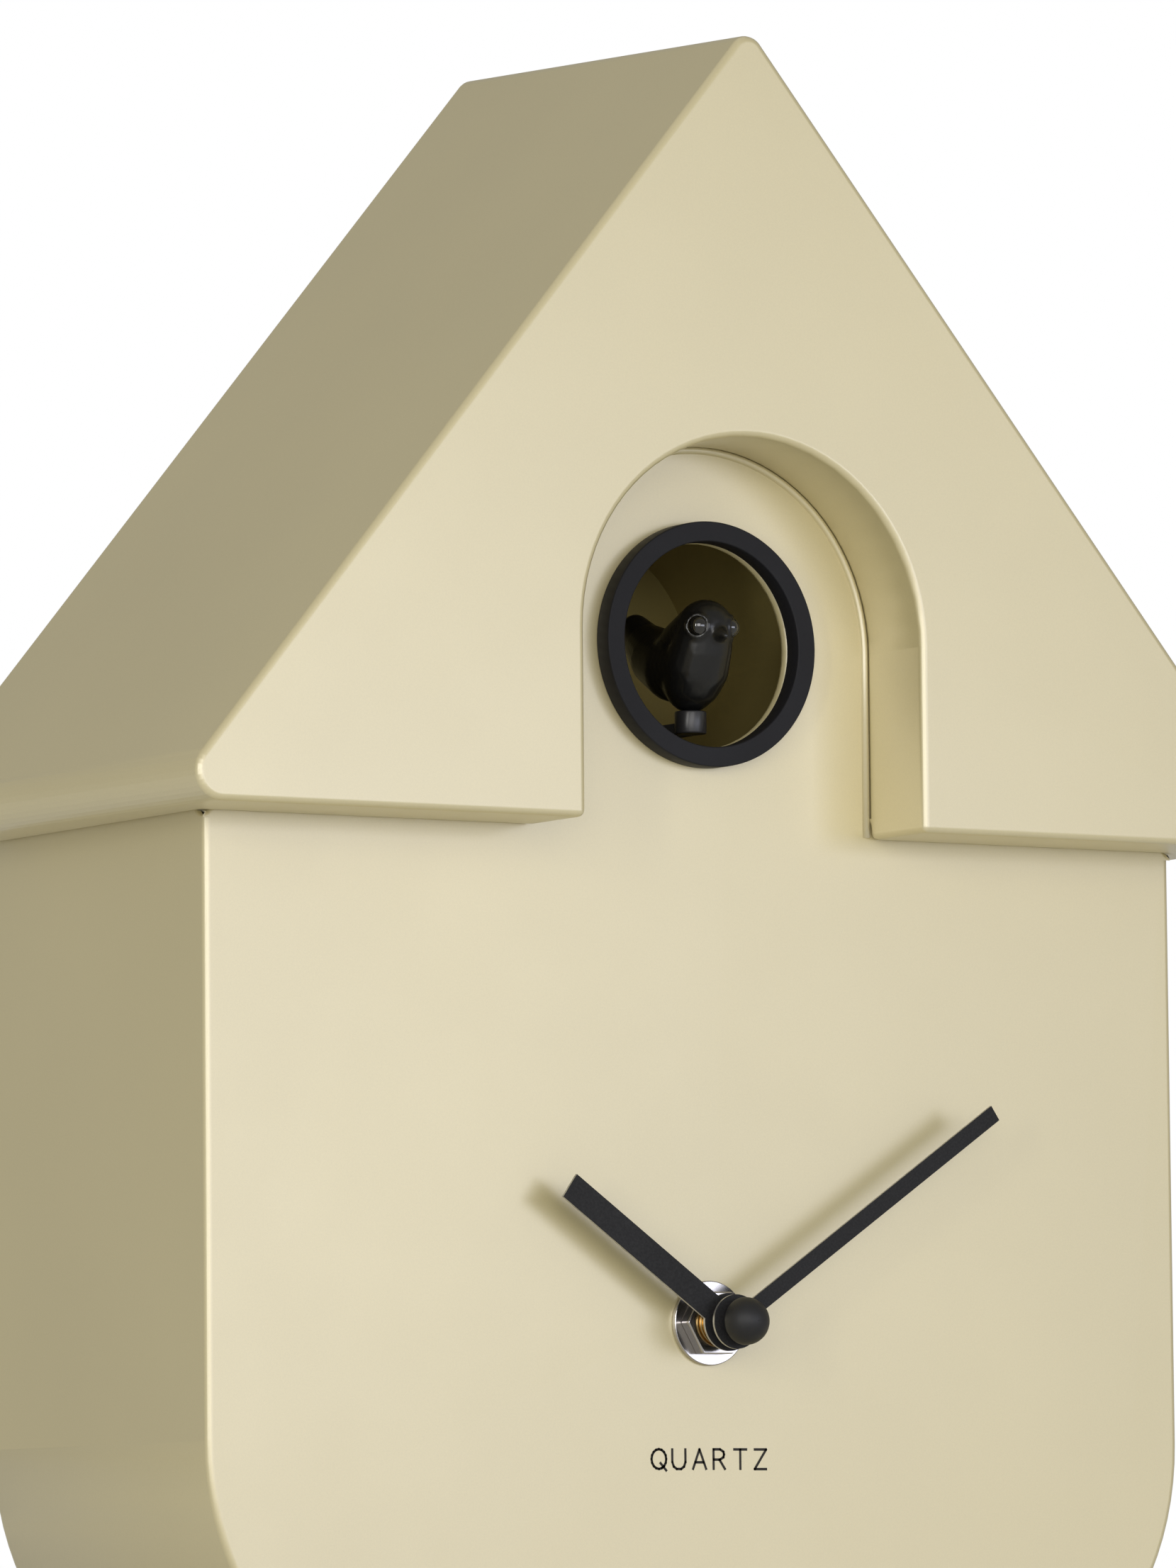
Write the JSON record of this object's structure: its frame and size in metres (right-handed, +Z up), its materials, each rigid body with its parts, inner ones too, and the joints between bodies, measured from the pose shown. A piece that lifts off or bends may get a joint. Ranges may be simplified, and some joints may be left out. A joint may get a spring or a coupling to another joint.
{
  "type": "cuckoo clock",
  "caption": "Wall cuckoo clock: gable roof shell over a rounded case, arch with round porthole, bird that slides out, hour and minute hands, battery movement and chime.",
  "frame": {"origin": "middle of the bottom of the bounding box, under the case", "axes": "+X to the right of someone facing the clock, +Y to the wall behind it, +Z up"},
  "size_m": [0.232, 0.0932, 0.2996],
  "materials": {
    "shell_gold": "satin champagne lacquer on moulded plastic",
    "back_black": "fine moulded grain",
    "screw_steel": "zinc plated",
    "ring_black": "satin black",
    "movement_black": "moulded black",
    "bush_brass": "turned",
    "nut_chrome": "polished",
    "washer_rubber": "matt",
    "cell_wrap": "printed wrap",
    "contact_steel": "nickel plated",
    "coil_copper": "enamelled copper wire",
    "iron": "soft iron",
    "gear_white": "acetal",
    "arbor_steel": "turned",
    "hand_black": "matt black paint with bare cut edges",
    "cap_black": "matt",
    "bird_black": "gloss black",
    "peg_black": "satin black",
    "motor_can": "plated can",
    "board_green": "solder mask",
    "chip_black": "moulded",
    "button_grey": "moulded",
    "sensor_clear": "clear resin",
    "speaker_steel": "plated steel",
    "cone_paper": "paper",
    "lead_red": "pvc sleeve"
  },
  "bodies": {
    "case": {"roof_shell": "shell_gold", "case_shell": "shell_gold", "back_cover": "back_black", "cover_ribs": "back_black", "cover_screws": "screw_steel", "roof_screws": "screw_steel", "porthole_ring": "ring_black", "bird_niche": "shell_gold", "niche_screws": "screw_steel", "movement_front": "movement_black", "movement_rear": "movement_black", "threaded_bush": "bush_brass", "flange_washer": "nut_chrome", "hex_nut": "nut_chrome", "rubber_washer": "washer_rubber", "movement_cell": "cell_wrap", "movement_contacts": "contact_steel", "coil": "coil_copper", "stator": "iron", "slide_rail": "movement_black", "gear_motor": "motor_can", "chime_board": "board_green", "board_parts": "chip_black", "board_screws": "screw_steel", "light_sensor": "sensor_clear", "battery_tray": "movement_black", "chime_cells": "cell_wrap", "tray_contacts": "contact_steel", "speaker_frame": "speaker_steel", "leads": "lead_red"},
    "minute_body": {"minute_arbor": "arbor_steel", "minute_hand": "hand_black", "hand_cap": "cap_black"},
    "hour_body": {"hour_wheel": "gear_white", "hour_hand": "hand_black"},
    "motion_body": {"motion_wheel": "gear_white"},
    "knob_body": {"set_knob": "movement_black"},
    "train_body": {"train_wheel": "gear_white"},
    "rotor_body": {"rotor": "iron"},
    "bird": {"bird_body": "bird_black", "bird_eyes": "bird_black", "bird_beak": "bird_black", "bird_peg": "peg_black", "carriage": "movement_black"},
    "pinion": {"drive_pinion": "gear_white"},
    "door": {"access_door": "back_black"},
    "lid": {"battery_lid": "back_black"},
    "mode": {"mode_switch": "button_grey"},
    "demo": {"demo_button": "button_grey"},
    "volume": {"volume_knob": "button_grey"},
    "cone": {"speaker_cone": "cone_paper"}
  },
  "joints": [
    {"name": "minute_turn", "type": "hinge", "parent": "case", "child": "minute_body", "pos_m": [0, -0.0371, 0.0706], "axis": [0, 1, 0], "continuous": true},
    {"name": "hour_turn", "type": "hinge", "parent": "case", "child": "hour_body", "pos_m": [0, -0.0351, 0.0706], "axis": [0, 1, 0], "continuous": true},
    {"name": "motion_turn", "type": "hinge", "parent": "case", "child": "motion_body", "pos_m": [0.01, -0.0211, 0.0706], "axis": [0, 1, 0], "continuous": true},
    {"name": "knob_turn", "type": "hinge", "parent": "case", "child": "knob_body", "pos_m": [-0.012, -0.0191, 0.0706], "axis": [0, 1, 0], "continuous": true},
    {"name": "train_turn", "type": "hinge", "parent": "case", "child": "train_body", "pos_m": [0, -0.0171, 0.0808], "axis": [0, 1, 0], "continuous": true},
    {"name": "rotor_turn", "type": "hinge", "parent": "case", "child": "rotor_body", "pos_m": [0.00598, -0.0151, 0.08425], "axis": [0, 1, 0], "continuous": true},
    {"name": "bird_slide", "type": "slide", "parent": "case", "child": "bird", "axis": [0, -1, 0], "range_m": [-0.014, 0.004]},
    {"name": "pinion_turn", "type": "hinge", "parent": "case", "child": "pinion", "pos_m": [0.016, 0, 0.159], "axis": [0, 0, 1], "range_deg": [-205, 60]},
    {"name": "door_pull", "type": "slide", "parent": "case", "child": "door", "axis": [0, 1, 0], "range_m": [0, 0.02]},
    {"name": "lid_pull", "type": "slide", "parent": "case", "child": "lid", "axis": [0, 1, 0], "range_m": [0, 0.02]},
    {"name": "mode_slide", "type": "slide", "parent": "case", "child": "mode", "axis": [1, 0, 0], "range_m": [-0.003, 0.003]},
    {"name": "demo_press", "type": "slide", "parent": "case", "child": "demo", "axis": [0, -1, 0], "range_m": [0, 0.0007], "stiffness_N_per_m": 300, "springref_m": -0.0005},
    {"name": "volume_turn", "type": "hinge", "parent": "case", "child": "volume", "pos_m": [0.072, 0.044, 0.061], "axis": [0, 1, 0], "range_deg": [-140, 140]},
    {"name": "cone_travel", "type": "slide", "parent": "case", "child": "cone", "axis": [0, 1, 0], "range_m": [-0.0003, 0.0003], "stiffness_N_per_m": 1200}
  ],
  "couplings": [
    {"joint": "hour_turn", "follows": "minute_turn", "ratio": 0.083333},
    {"joint": "motion_turn", "follows": "minute_turn", "ratio": -0.33333},
    {"joint": "knob_turn", "follows": "minute_turn", "ratio": -3},
    {"joint": "train_turn", "follows": "minute_turn", "ratio": -7.5},
    {"joint": "rotor_turn", "follows": "minute_turn", "ratio": 50},
    {"joint": "pinion_turn", "follows": "bird_slide", "rad_per_m": 250}
  ]
}
